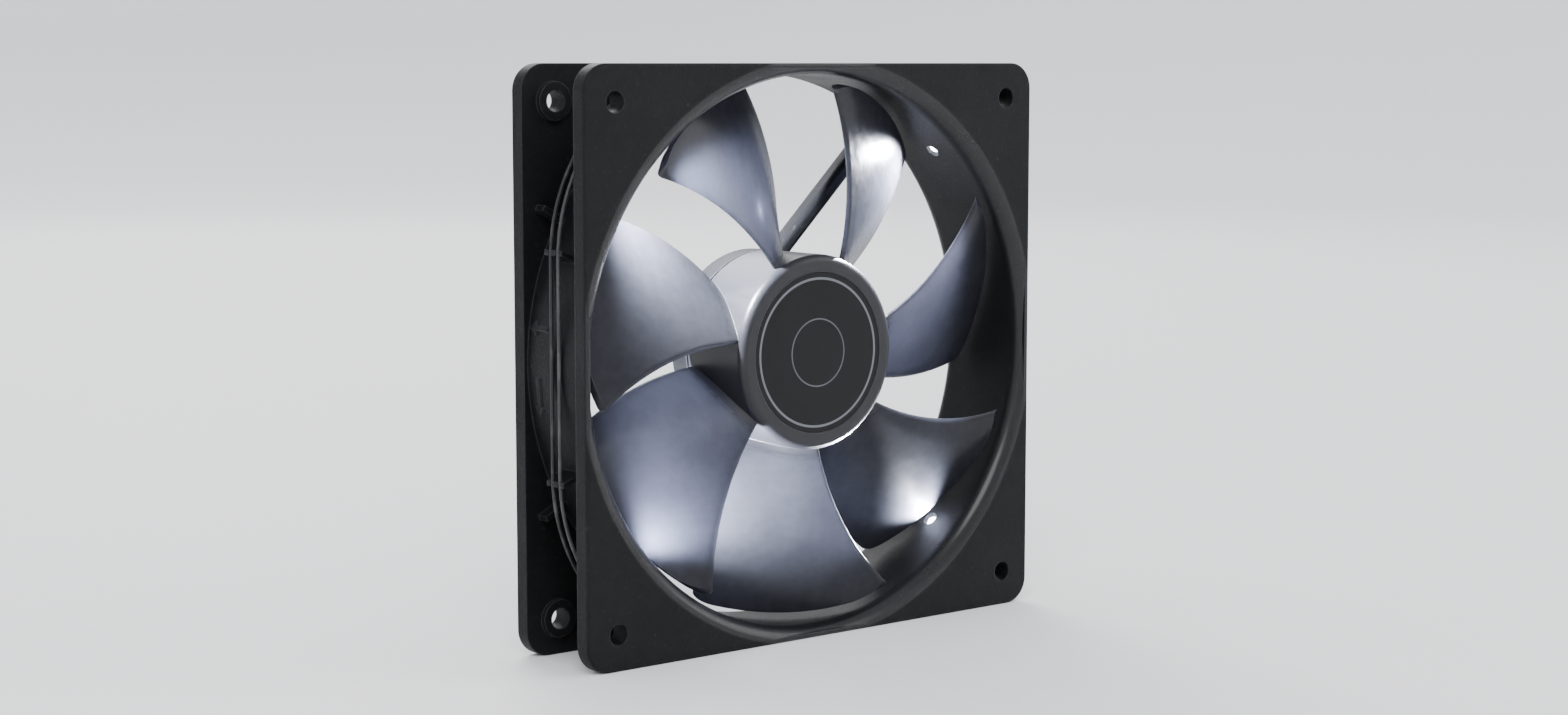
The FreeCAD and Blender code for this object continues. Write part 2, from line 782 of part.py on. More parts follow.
def loom_corner(corner, start, end, y):
    """The part of the loom's round corner between two angles about that corner's own centre."""
    centre = polar(WIRE_ROUND * math.sqrt(2), corner)
    points = [centre + polar(WIRE_CORNER_R, a, y) for a in (start, (start + end) / 2, end)]
    return arc(*points)


def led_loom(y):
    """One wire of the loom, round the outside of the duct from the wire strut's LED past the others."""
    edges = [loom_corner(-45, -45, -90, y)]
    for corner in (-135, -225):
        edges.append(loom_corner(corner, corner + 45, corner - 45, y))
    edges.append(loom_corner(-315, -270, -315, y))
    path = []
    for before, after in zip(edges, edges[1:]):
        path.append(before)
        a = before.valueAt(before.LastParameter)
        b = after.valueAt(after.FirstParameter)
        path.append(Part.makeLine(a, b))
    return tube(path + [edges[-1]], WIRE_R)


def led_feed(side, y):
    """One wire from the board, through the base, along the strut's channel and down to the corner LED."""
    inside = BOARD_REAR + WIRE_R + 0.03
    across = FEED_SIDE + side * FEED_PITCH / 2
    points = [
        on_strut(FEED_START, across, inside),
        on_strut(FEED_RISE, across, inside),
        on_strut(FEED_RISE, across, FEED_Y),
        on_strut(DROP_S, across, FEED_Y),
        on_strut(DROP_S, across, y),
        polar(WIRE_REACH, -45, y) + polar(0.05, 45),
    ]
    return tube(rounded_path(points, FEED_BEND), WIRE_R)


# Labels


def base_label():
    floor = REAR - LABEL_RECESS
    return rod(BASE_LABEL_R, floor, floor + LABEL_T)


def hub_label():
    floor = HUB_FRONT + LABEL_RECESS
    return rod(HUB_LABEL_R, floor - LABEL_T, floor)


def nodes():
    """Every piece by its node name."""
    positive, negative = leg_depths()
    made = {
        "frame": frame(),
        "impeller": impeller(),
        "rotor_yoke": rotor_yoke(),
        "rotor_magnet": rotor_magnet(),
        "shaft_boss": shaft_boss(),
        "shaft": shaft(),
        "front_washer": washer(TUBE_FRONT - 0.55),
        "rear_washer": washer(BEARING_REAR + 0.12),
        "retaining_ring": retaining_ring(),
        "bearing_tube": ring(TUBE_R, TUBE_IN_R, TUBE_FRONT, TUBE_REAR),
        "sleeve_bearing": sleeve_bearing(),
        "oil_seal": ring(TUBE_IN_R, SHAFT_R + 0.2, TUBE_FRONT, BEARING_FRONT),
        "thrust_pad": thrust_pad(),
        "end_plug": end_plug(),
        "stator_core": stator_core(),
        "insulator_front": insulator(CORE_FRONT, -1),
        "insulator_rear": insulator(CORE_REAR, 1, SOCKET_FRONT - CORE_REAR - INSULATOR_T),
        "winding_pins": winding_pins(),
        "circuit_board": circuit_board(),
        "driver_chip": driver_chip(),
        "capacitor": capacitor(),
        "diode": diode(),
        "chip_resistors": chip_resistors(),
        "solder_pads": solder_pads(),
        "led_legs": led_legs(),
        "led_sleeves": led_sleeves(),
        "led_loom_positive": led_loom(positive),
        "led_loom_negative": led_loom(negative),
        "led_feed_positive": led_feed(1, positive),
        "led_feed_negative": led_feed(-1, negative),
        "base_label": base_label(),
        "hub_label": hub_label(),
    }
    for number, angle in enumerate(POLES, start=1):
        made[f"coil_{number}"] = coil(angle)
    for number, angle in enumerate(CORNERS, start=1):
        made[f"led_{number}"] = led(angle)
    return made


def main():
    os.makedirs("parts", exist_ok=True)
    for name, shape in nodes().items():
        if not shape.isValid():
            raise RuntimeError(f"{name} isn't a valid shape")
        shape.exportStep(f"parts/{name}.step")
        print(f"{name}: {len(shape.Solids)} solids, {shape.Volume:.1f} mm3")


main()
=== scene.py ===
"""The looks of a 120 mm case fan with white LEDs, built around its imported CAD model.

The fan's axis is Y, its intake side faces -Y and Z is up. Lengths are in metres. Every CAD node keeps
its shape and gets a procedural material. The coils' turns of wire and the LEDs' insides are added here.
"""

import json
import math

import bmesh
import bpy
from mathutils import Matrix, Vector


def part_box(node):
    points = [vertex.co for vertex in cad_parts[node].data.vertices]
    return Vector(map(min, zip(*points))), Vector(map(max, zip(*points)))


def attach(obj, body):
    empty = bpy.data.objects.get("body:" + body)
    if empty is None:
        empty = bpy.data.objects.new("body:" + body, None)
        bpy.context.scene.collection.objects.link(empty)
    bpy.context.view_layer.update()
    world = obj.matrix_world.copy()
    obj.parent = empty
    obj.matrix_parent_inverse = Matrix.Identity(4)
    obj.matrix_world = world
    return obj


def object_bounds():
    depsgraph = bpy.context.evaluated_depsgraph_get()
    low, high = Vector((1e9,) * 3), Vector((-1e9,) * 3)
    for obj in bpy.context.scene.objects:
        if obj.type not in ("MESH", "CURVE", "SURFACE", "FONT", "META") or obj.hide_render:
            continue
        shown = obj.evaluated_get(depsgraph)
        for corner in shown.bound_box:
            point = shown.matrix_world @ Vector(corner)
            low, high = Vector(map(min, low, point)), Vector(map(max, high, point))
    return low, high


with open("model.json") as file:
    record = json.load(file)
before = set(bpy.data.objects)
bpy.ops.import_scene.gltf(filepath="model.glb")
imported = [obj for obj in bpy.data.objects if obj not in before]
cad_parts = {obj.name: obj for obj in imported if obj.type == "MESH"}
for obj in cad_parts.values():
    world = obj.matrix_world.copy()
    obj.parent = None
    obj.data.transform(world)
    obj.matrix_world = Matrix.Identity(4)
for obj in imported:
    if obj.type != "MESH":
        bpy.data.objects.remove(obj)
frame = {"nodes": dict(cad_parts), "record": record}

CAD_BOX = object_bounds()
NODES = frame["nodes"]
MM = 0.001
NUMBERS = range(1, 5)  # of the coils and of the LEDs

# Distances from the fan's axis
SIDE = CAD_BOX[1].x  # the flanges' straight edges
DUCT_R = 57.8 * MM  # the inside of the duct
LIP_R = 59.6 * MM  # the middle of the rounded lips
LED_TIP_R = 58.1 * MM
LED_BODY_R = 61.5 * MM

LIP_Y = 8.9 * MM  # where the lips start, from the fan's middle plane

# A coil's outer turns
COIL_WIRE_R = 0.15 * MM
COIL_PITCH = 2.2 * COIL_WIRE_R
COIL_CORNER_R = 1.4 * MM
COIL_START = 0.8  # turns, from the coil's inner end to its first turn
COIL_SPARE = 0.6  # turns, by which the coil is longer than its windings

# An LED's inside, in millimetres: (distance outwards from the dome's tip, distance from the LED's axis)
LED_CUP = ((2.3, 0.38), (1.9, 0.62), (1.78, 0.66), (1.78, 0.56), (2.1, 0.34))
LED_PHOSPHOR = ((2.09, 0.34), (1.84, 0.52), (1.70, 0.40), (1.62, 0.18), (1.60, 0.02))
LEAD_STARTS = (("anode", -1, 1.95), ("cathode", 1, 2.35))  # name, side, distance from the tip
LEAD_INNER = 0.45
LEAD_OUTER = 1.27
LEAD_ROUTE = ((3.3, LEAD_INNER), (4.3, 0.85 * LEAD_OUTER))
LEAD_R = 0.2 * MM

# The floor: a flat disc, then a quarter turn up to a low wall
FLOOR_FLAT_R = 1.7
FLOOR_CURVE_R = 1.0
FLOOR_TOP = 1.9
FLOOR_INNER_RINGS = (0.25, 0.8)
FLOOR_CURVE_STEPS = 16
FLOOR_STEPS = 96

# Lights: name, place, width, watts
SOFTBOXES = (
    ("key", (-0.9, -1.1, 1.25), 1.1, 20.0),
    ("fill", (1.3, -0.9, 0.7), 1.2, 9.0),
    ("back", (0.5, 1.3, 1.1), 1.0, 18.0),
)
SKY_COLOUR = (0.93, 0.95, 1.0, 1.0)
SKY_STRENGTH = 1.1
LED_WATTS = 3.4
LED_COLOUR = (0.86, 0.90, 1.0)
LED_BEAM = math.radians(125)
LED_BEAM_BLEND = 0.8
LED_LAMP_R = 1.2 * MM
LED_LAMP_GAP = 0.9 * MM  # between the dome and the lamp in front of it

# The camera: its place from the middle of the front face, and the point that it looks at
CAMERA_PLACE = (-0.355, -0.420, 0.060)
CAMERA_TARGET = (0, 0, -0.002)
CAMERA_LENS = 61.0
CAMERA_CLIP_START = 0.02


def node_radius(node):
    low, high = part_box(node)
    return (high.x - low.x) / 2


class Material:
    """A node material under construction. Coordinates are the object's own, in metres."""

    def __init__(self, name):
        self.material = bpy.data.materials.new(name)
        self.material.use_nodes = True
        self.nodes = self.material.node_tree.nodes
        self.links = self.material.node_tree.links
        self.nodes.clear()
        self.place = self.add("ShaderNodeTexCoord").outputs["Object"]

    def add(self, kind, inputs=None, **settings):
        """A new node. A socket given as an input is linked, and anything else is its value."""
        node = self.nodes.new(kind)
        for key, value in settings.items():
            setattr(node, key, value)
        for key, value in (inputs or {}).items():
            if isinstance(value, bpy.types.NodeSocket):
                self.links.new(value, node.inputs[key])
            else:
                node.inputs[key].default_value = value
        return node

    def maths(self, operation, a, b=0.0):
        return self.add("ShaderNodeMath", {0: a, 1: b}, operation=operation).outputs[0]

    def plus(self, a, b):
        return self.maths("ADD", a, b)

    def times(self, a, b):
        return self.maths("MULTIPLY", a, b)

    def vector(self, operation, a, b, output="Vector"):
        return self.add("ShaderNodeVectorMath", {0: a, 1: b}, operation=operation).outputs[output]

    def span(self, value, start, end, low=0.0, high=1.0, smooth=False):
        """value carried from start..end to low..high, and held at the ends."""
        kind = "SMOOTHSTEP" if smooth else "LINEAR"
        inputs = {"Value": value, "From Min": start, "From Max": end, "To Min": low, "To Max": high}
        return self.add("ShaderNodeMapRange", inputs, interpolation_type=kind).outputs["Result"]

    def band(self, value, middle, half_width, edge):
        """1 within half_width of the middle, fading to 0 over edge."""
        away = self.maths("ABSOLUTE", self.maths("SUBTRACT", value, middle))
        return self.span(away, half_width, half_width + edge, 1.0, 0.0)

    def noise(self, size, detail=2.0, stretch=(1.0, 1.0, 1.0)):
        """Noise from 0 to 1 with blotches of about that size, lengthened along each axis by stretch."""
        place = self.vector("MULTIPLY", self.place, tuple(1 / s for s in stretch))
        inputs = {"Vector": place, "Scale": 1 / size, "Detail": detail}
        return self.add("ShaderNodeTexNoise", inputs).outputs["Fac"]

    def cells(self, size):
        """The distance to the middle of the nearest of many cells of about that size, 0 to about 1."""
        inputs = {"Vector": self.place, "Scale": 1 / size}
        return self.add("ShaderNodeTexVoronoi", inputs).outputs["Distance"]

    def radius(self):
        """The distance from the fan's axis."""
        flat = self.vector("MULTIPLY", self.place, (1.0, 0.0, 1.0))
        return self.vector("LENGTH", flat, (0.0, 0.0, 0.0), "Value")

    def along(self, axis):
        """The place along X, Y or Z."""
        return self.add("ShaderNodeSeparateXYZ", {0: self.place}).outputs[axis]

    def blend(self, share, a, b):
        """The colour a where share is 0, and b where it is 1."""
        mix = self.add("ShaderNodeMix", {0: share}, data_type="RGBA")
        for socket, colour in ((mix.inputs[6], a), (mix.inputs[7], b)):
            if isinstance(colour, bpy.types.NodeSocket):
                self.links.new(colour, socket)
            else:
                socket.default_value = (*colour, 1.0)
        return mix.outputs[2]

    def edges(self, radius):
        """1 on sharp edges and 0 on flat ground, and the normal that rounds them."""
        rounded = self.add("ShaderNodeBevel", {"Radius": radius}, samples=6).outputs["Normal"]
        normal = self.add("ShaderNodeNewGeometry").outputs["Normal"]
        alike = self.vector("DOT_PRODUCT", rounded, normal, "Value")
        return self.span(alike, 0.99, 0.8), rounded

    def bump(self, height, depth, normal=None, strength=1.0):
        """A normal for a surface raised by depth where height is 1."""
        inputs = {"Height": height, "Distance": depth, "Strength": strength}
        if normal:
            inputs["Normal"] = normal
        return self.add("ShaderNodeBump", inputs).outputs["Normal"]

    def surface(self, inputs):
        return self.add("ShaderNodeBsdfPrincipled", inputs).outputs[0]

    def clear(self, colour):
        return self.add("ShaderNodeBsdfTransparent", {"Color": (*colour, 1.0)}).outputs[0]

    def mixed(self, share, a, b):
        return self.add("ShaderNodeMixShader", {0: share, 1: a, 2: b}).outputs[0]

    def done(self, shader):
        self.add("ShaderNodeOutputMaterial", {"Surface": shader})
        return self.material


# Materials


def frame_plastic(name):
    """Black moulded plastic: grained, with a smooth duct, glossy lips, flow marks, dust, and a painted
    highlight that makes its sharp edges pale.
    """
    m = Material(name)
    duct = m.band(m.radius(), DUCT_R, 0.35 * MM, 0.2 * MM)
    across, depth, up = (m.maths("ABSOLUTE", m.along(axis)) for axis in "XYZ")
    inside = m.span(m.maths("MAXIMUM", across, up), SIDE - 0.2 * MM, SIDE - 0.05 * MM, 1.0, 0.0)
    lip = m.times(m.band(m.radius(), LIP_R, 1.4 * MM, 0.4 * MM), inside)
    lip = m.times(lip, m.span(depth, LIP_Y, LIP_Y + 0.4 * MM))
    grain = m.noise(0.34 * MM)
    mottle = m.noise(1.3 * MM, 3.0)
    pits = m.cells(0.55 * MM)
    flow = m.noise(16 * MM, 4.0, stretch=(1.0, 0.35, 1.0))
    handled = m.span(m.noise(24 * MM, 5.0), 0.48, 0.70)
    dust = m.span(m.noise(0.9 * MM, 5.0), 0.62, 0.80)
    edge, rounded = m.edges(0.45 * MM)
    colour = m.blend(flow, (0.0034, 0.0036, 0.0040), (0.0068, 0.0070, 0.0078))
    colour = m.blend(m.times(mottle, 0.35), colour, (0.0130, 0.0133, 0.0145))
    colour = m.blend(m.times(dust, 0.10), colour, (0.16, 0.158, 0.15))
    # Painted highlight: sharp edges are made paler than the rest of the black plastic.
    colour = m.blend(m.times(edge, 0.6), colour, (0.052, 0.053, 0.058))
    rough = m.plus(m.span(grain, 0.3, 0.7, 0.44, 0.60), m.span(handled, 0.0, 1.0, 0.02, -0.10))
    rough = m.plus(rough, m.times(lip, -0.14))
    relief = m.times(m.plus(grain, pits), m.span(duct, 0.0, 1.0, 1.0, 0.15))
    normal = m.bump(relief, 0.03 * MM, rounded, 0.9)
    normal = m.bump(mottle, 0.05 * MM, normal, 0.45)
    normal = m.bump(flow, 0.06 * MM, normal, 0.4)
    return m.done(m.surface({
        "Base Color": colour, "Roughness": rough, "Normal": normal, "Specular IOR Level": 0.12,
        "Coat Weight": m.times(lip, 0.45), "Coat Roughness": 0.20,
    }))


def smoke_plastic(name):
    """Smoke-grey translucent plastic: it glows where it is lit, has a painted highlight on its thin edges,
    and on the hub is duller, with painted shade where the yoke behind it lets no light through.
    """
    m = Material(name)
    cup_r = node_radius("rotor_yoke")
    hub = m.span(m.radius(), cup_r + 1.8 * MM, cup_r + 4.5 * MM, 1.0, 0.0, smooth=True)
    flow = m.noise(9 * MM, 4.0, stretch=(1.0, 2.5, 1.0))
    streak = m.noise(1.6 * MM, stretch=(1.0, 5.0, 1.0))
    ripple = m.noise(0.55 * MM, 1.0)
    edge, rounded = m.edges(0.3 * MM)
    tone = m.plus(m.span(flow, 0.3, 0.7, 0.0, 0.7), m.span(streak, 0.3, 0.7, 0.0, 0.3))
    colour = m.blend(tone, (0.022, 0.0225, 0.028), (0.036, 0.0372, 0.045))
    # Painted highlight: the thin edges are made much paler than the smoke plastic around them.
    colour = m.blend(m.times(edge, 0.6), colour, (0.26, 0.265, 0.30))
    # Painted shade: the hub is darkened where the yoke behind it lets no light through.
    colour = m.blend(m.times(hub, 0.75), colour, (0.010, 0.010, 0.012))
    rough = m.plus(m.span(streak, 0.2, 0.8, 0.16, 0.27), m.times(hub, 0.16))
    normal = m.bump(m.plus(flow, m.times(ripple, 0.25)), 0.06 * MM, rounded, 0.5)
    skin = m.surface({
        "Base Color": colour, "Roughness": rough, "Normal": normal, "IOR": 1.5,
        "Specular IOR Level": 0.36,
    })
    lit = m.blend(tone, (0.205, 0.210, 0.252), (0.285, 0.292, 0.345))
    glow = m.add("ShaderNodeBsdfTranslucent", {"Color": lit, "Normal": normal}).outputs[0]
    body = m.mixed(m.span(hub, 0.0, 1.0, 0.26, 0.05), skin, glow)
    solid = m.maths("MAXIMUM", m.span(edge, 0.0, 1.0, 0.62, 0.90), m.times(hub, 0.93))
    return m.done(m.mixed(solid, m.clear((0.100, 0.103, 0.122)), body))


def led_lens(name):
    """Water-clear epoxy full of its chip's light: brightest at the dome, clearer towards the flange."""
    m = Material(name)
    inwards = m.span(m.radius(), LED_TIP_R, LED_BODY_R, 1.0, 0.0, smooth=True)
    haze = m.noise(0.7 * MM, 3.0)
    colour = m.blend(haze, (0.82, 0.86, 0.95), (0.95, 0.97, 1.0))
    lit = m.blend(inwards, (0.62, 0.70, 0.88), (0.88, 0.92, 1.0))
    strength = m.times(m.span(inwards, 0.0, 1.0, 0.4, 34.0), m.span(haze, 0.2, 0.8, 0.85, 1.1))
    epoxy = m.surface({
        "Base Color": colour, "Roughness": 0.10, "Normal": m.bump(haze, 0.02 * MM), "IOR": 1.53,
        "Emission Color": lit, "Emission Strength": strength,
    })
    return m.done(m.mixed(m.span(inwards, 0.0, 1.0, 0.35, 0.85), m.clear((0.93, 0.95, 0.98)), epoxy))


def phosphor():
    """The yellow phosphor in an LED's cup, washed out by its own light."""
    m = Material("phosphor")
    grain = m.noise(0.12 * MM, 3.0)
    colour = m.blend(grain, (0.85, 0.70, 0.18), (0.95, 0.84, 0.40))
    return m.done(m.surface({
        "Base Color": colour, "Roughness": 0.6, "Normal": m.bump(grain, 0.02 * MM),
        "Emission Color": (0.93, 0.95, 1.0, 1.0), "Emission Strength": 30.0,
    }))


def metal(name, dark, light, rough, size, lines=(1.0, 1.0, 1.0), stains=0.3):
    """Bare or plated metal with stains, and tool marks of that size, lengthened along each axis by lines."""
    m = Material(name)
    marks = m.noise(size, 3.0, stretch=lines)
    stain = m.noise(4 * MM, 4.0)
    edge, rounded = m.edges(0.12 * MM)
    colour = m.blend(m.span(marks, 0.25, 0.75), dark, light)
    colour = m.blend(m.span(stain, 0.55, 0.8, 0.0, stains), colour, tuple(0.55 * c for c in dark))
    # Painted highlight: sharp edges are made lighter than the metal around them.
    colour = m.blend(m.times(edge, 0.5), colour, tuple(min(1.0, 1.25 * c) for c in light))
    roughness = m.span(marks, 0.2, 0.8, rough - 0.07, rough + 0.09)
    roughness = m.plus(roughness, m.span(stain, 0.5, 0.8, 0.0, 0.12))
    normal = m.bump(marks, 0.012 * MM, rounded, 0.6)
    return m.done(m.surface({
        "Base Color": colour, "Metallic": 1.0, "Roughness": roughness, "Normal": normal,
    }))


def lamination(name):
    """The edges of stacked steel sheets, half a millimetre each, with dull cut faces."""
    m = Material(name)
    sheet = m.maths("FLOORED_MODULO", m.maths("DIVIDE", m.along("Y"), 0.5 * MM), 1.0)
    gap = m.span(m.maths("ABSOLUTE", m.maths("SUBTRACT", sheet, 0.5)), 0.40, 0.48)
    rust = m.span(m.noise(2.4 * MM, 5.0), 0.52, 0.75)
    colour = m.blend(m.noise(0.3 * MM, 3.0), (0.17, 0.175, 0.19), (0.30, 0.305, 0.32))
    colour = m.blend(m.times(rust, 0.35), colour, (0.16, 0.09, 0.05))
    colour = m.blend(m.times(gap, 0.8), colour, (0.03, 0.03, 0.033))
    normal = m.bump(m.maths("SUBTRACT", 1.0, gap), 0.05 * MM)
    rough = m.span(rust, 0.0, 1.0, 0.38, 0.62)
    return m.done(m.surface({
        "Base Color": colour, "Metallic": 0.9, "Roughness": rough, "Normal": normal,
    }))


def pale_plastic(name, dark, light, glow):
    """Natural nylon: waxy and a little uneven in tone, with glow as the share of light that goes in."""
    m = Material(name)
    cloud = m.noise(3 * MM, 4.0)
    grain = m.noise(0.25 * MM)
    edge, rounded = m.edges(0.15 * MM)
    colour = m.blend(cloud, dark, light)
    # Painted highlight: sharp edges are made nearly white.
    colour = m.blend(m.times(edge, 0.4), colour, (0.93, 0.93, 0.91))
    return m.done(m.surface({
        "Base Color": colour, "Roughness": m.span(grain, 0.3, 0.7, 0.38, 0.52),
        "Normal": m.bump(grain, 0.015 * MM, rounded, 0.6),
        "Subsurface Weight": glow, "Subsurface Scale": 0.8 * MM,
    }))


def copper(name):
    """Enamelled copper wire: a metal under clear amber varnish."""
    m = Material(name)
    tone = m.noise(1.2 * MM, 3.0)
    pull = m.noise(0.15 * MM)
    colour = m.blend(m.span(tone, 0.3, 0.7), (0.50, 0.15, 0.055), (0.78, 0.30, 0.12))
    return m.done(m.surface({
        "Base Color": colour, "Metallic": 0.85, "Roughness": m.span(pull, 0.3, 0.7, 0.24, 0.36),
        "Normal": m.bump(pull, 0.008 * MM, strength=0.5), "Coat Weight": 0.6, "Coat Roughness": 0.08,
    }))


def board(name):
    """Green solder mask over copper tracks, which are rings with gaps and stand slightly proud."""
    m = Material(name)
    ring = m.maths("FLOORED_MODULO", m.maths("DIVIDE", m.radius(), 2.2 * MM), 1.0)
    whole = m.span(m.cells(3.4 * MM), 0.32, 0.36)
    track = m.times(m.band(ring, 0.5, 0.2, 0.04), whole)
    grain = m.noise(0.4 * MM, 3.0)
    colour = m.blend(track, (0.008, 0.075, 0.03), (0.02, 0.17, 0.06))
    colour = m.blend(m.span(grain, 0.45, 0.8, 0.0, 0.25), colour, (0.02, 0.11, 0.06))
    return m.done(m.surface({
        "Base Color": colour, "Roughness": m.span(grain, 0.3, 0.7, 0.26, 0.38),
        "Normal": m.bump(track, 0.035 * MM), "Coat Weight": 0.4, "Coat Roughness": 0.12,
    }))


def dark_matter(name, dark, light, rough, size, relief):
    """Black rubber, ferrite, epoxy or heat-shrink, with a grain of that size and relief."""
    m = Material(name)
    grain = m.noise(size, 4.0)
    cloud = m.noise(8 * size, 3.0)
    edge, rounded = m.edges(0.12 * MM)
    colour = m.blend(cloud, dark, light)
    # Painted highlight: sharp edges are made lighter than the dark material around them.
    colour = m.blend(m.times(edge, 0.4), colour, tuple(2.2 * c for c in light))
    normal = m.bump(grain, relief, rounded, 0.8)
    roughness = m.span(grain, 0.3, 0.7, rough - 0.06, rough + 0.08)
    return m.done(m.surface({"Base Color": colour, "Roughness": roughness, "Normal": normal}))


def wire_skin(name, dark, light):
    """Extruded wire insulation, with faint draw lines and dust."""
    m = Material(name)
    draw = m.noise(0.2 * MM, stretch=(4.0, 1.0, 4.0))
    dust = m.span(m.noise(5 * MM, 5.0), 0.52, 0.75)
    colour = m.blend(draw, dark, light)
    colour = m.blend(m.times(dust, 0.12), colour, (0.45, 0.44, 0.42))
    rough = m.span(dust, 0.0, 1.0, 0.32, 0.52)
    normal = m.bump(draw, 0.008 * MM, strength=0.5)
    return m.done(m.surface({
        "Base Color": colour, "Roughness": rough, "Normal": normal, "Specular IOR Level": 0.25,
    }))


def round_label(name, ground, ring, radius, metallic):
    """A blank round label with two thin printed rings, a fine brushed sheen and soft ripples."""
    m = Material(name)
    out = m.radius()
    rim_ring = m.band(out, radius - 1.3 * MM, 0.22 * MM, 0.05 * MM)
    inner_ring = m.band(out, 0.42 * radius, 0.12 * MM, 0.05 * MM)
    printed = m.maths("MAXIMUM", rim_ring, m.times(inner_ring, 0.7))
    brush = m.noise(0.22 * MM, stretch=(30.0, 1.0, 1.0))
    ripple = m.noise(7 * MM)
    tone = m.blend(m.span(brush, 0.25, 0.75), tuple(0.86 * c for c in ground), ground)
    colour = m.blend(printed, tone, ring)
    rough = m.span(brush, 0.2, 0.8, 0.30, 0.42)
    normal = m.bump(ripple, 0.09 * MM, strength=0.5)
    normal = m.bump(brush, 0.006 * MM, normal, 0.5)
    return m.done(m.surface({
        "Base Color": colour, "Metallic": metallic, "Roughness": rough, "Normal": normal,
        "Coat Weight": 0.06, "Coat Roughness": 0.3, "Specular IOR Level": 0.14,
    }))


def floor_material():
    """Pale matt studio paper."""
    m = Material("floor")
    cloud = m.noise(0.5, 3.0)
    grain = m.noise(0.6 * MM)
    colour = m.blend(cloud, (0.935, 0.937, 0.942), (0.955, 0.957, 0.96))
    normal = m.bump(grain, 0.03 * MM, strength=0.3)
    return m.done(m.surface({"Base Color": colour, "Roughness": 0.62, "Normal": normal}))


# How each slot of the record is made: the function, and what it takes beside the slot's name
TURNED = (1.0, 0.12, 1.0)
SLOTS = {
    "frame_plastic": (frame_plastic, {}),
    "smoke_plastic": (smoke_plastic, {}),
    "led_lens": (led_lens, {}),
    "lamination": (lamination, {}),
    "copper": (copper, {}),
    "board": (board, {}),
    "steel": (metal, {
        "dark": (0.50, 0.50, 0.51), "light": (0.68, 0.68, 0.69),
        "rough": 0.22, "size": 0.4 * MM, "lines": TURNED,
    }),
    "yoke_steel": (metal, {
        "dark": (0.36, 0.37, 0.39), "light": (0.52, 0.53, 0.55),
        "rough": 0.34, "size": 0.8 * MM, "lines": (1.0, 3.0, 1.0), "stains": 0.5,
    }),
    "brass": (metal, {
        "dark": (0.60, 0.42, 0.17), "light": (0.80, 0.60, 0.28),
        "rough": 0.27, "size": 0.5 * MM, "lines": TURNED,
    }),
    "bronze": (metal, {
        "dark": (0.36, 0.22, 0.10), "light": (0.56, 0.37, 0.19),
        "rough": 0.50, "size": 0.14 * MM, "stains": 0.6,
    }),
    "can": (metal, {
        "dark": (0.58, 0.59, 0.61), "light": (0.76, 0.77, 0.79),
        "rough": 0.25, "size": 0.3 * MM, "lines": (1.0, 4.0, 1.0),
    }),
    "solder": (metal, {
        "dark": (0.55, 0.56, 0.58), "light": (0.74, 0.75, 0.77),
        "rough": 0.24, "size": 0.7 * MM,
    }),
    "magnet": (dark_matter, {
        "dark": (0.022, 0.021, 0.020), "light": (0.045, 0.042, 0.040),
        "rough": 0.62, "size": 0.3 * MM, "relief": 0.03 * MM,
    }),
    "component": (dark_matter, {
        "dark": (0.018, 0.018, 0.019), "light": (0.034, 0.034, 0.036),
        "rough": 0.44, "size": 0.15 * MM, "relief": 0.01 * MM,
    }),
    "seal_rubber": (dark_matter, {
        "dark": (0.016, 0.016, 0.017), "light": (0.03, 0.03, 0.031),
        "rough": 0.55, "size": 0.2 * MM, "relief": 0.015 * MM,
    }),
    "bobbin": (pale_plastic, {
        "dark": (0.66, 0.65, 0.60), "light": (0.80, 0.79, 0.74), "glow": 0.3,
    }),
    "washer_plastic": (pale_plastic, {
        "dark": (0.74, 0.73, 0.69), "light": (0.86, 0.85, 0.82), "glow": 0.4,
    }),
    "wire_grey": (wire_skin, {"dark": (0.030, 0.031, 0.034), "light": (0.05, 0.051, 0.055)}),
    "wire_black": (wire_skin, {"dark": (0.012, 0.012, 0.013), "light": (0.026, 0.026, 0.028)}),
    "label": (round_label, {
        "ground": (0.66, 0.67, 0.69), "ring": (0.12, 0.12, 0.13),
        "radius": node_radius("base_label"), "metallic": 0.55,
    }),
    "hub_label": (round_label, {
        "ground": (0.006, 0.006, 0.007), "ring": (0.13, 0.134, 0.15),
        "radius": node_radius("hub_label"), "metallic": 0.0,
    }),
}


def dress_nodes(materials):
    """Gives every CAD node its slot's material."""
    for row in frame["record"]["subparts"]:
        data = NODES[row["node"]].data
        data.materials.clear()
        data.materials.append(materials[row["material_slot"]])


# Pieces added to the CAD nodes


def add_piece(name, data, material):
    """A new piece of the housing, with the finish of that slot."""
    data.materials.append(material)
    piece = bpy.data.objects.new(name, data)
    bpy.context.scene.collection.objects.link(piece)
    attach(piece, "housing")


def wire_curve(name, points, r):
    """A round wire through the points."""
    curve = bpy.data.curves.new(name, "CURVE")
    curve.dimensions = "3D"
    curve.bevel_depth = r
    curve.bevel_resolution = 2
    curve.use_fill_caps = True
    line = curve.splines.new("POLY")
    line.points.add(len(points) - 1)
    for spot, point in zip(line.points, points):
        spot.co = (*point, 1.0)
    return curve


def rounded_turn(half_w, half_h, r):
    """One turn of wire round a rounded rectangle, as (across, along the axis) pairs."""
    steps = 5
    pairs = []
    for corner, (side, end) in enumerate(((1, 1), (-1, 1), (-1, -1), (1, -1))):
        for k in range(steps):
            angle = math.radians(90 * corner + 90 * k / (steps - 1))
            across = side * (half_w - r) + r * math.cos(angle)
            along = end * (half_h - r) + r * math.sin(angle)
            pairs.append((across, along))
    return pairs


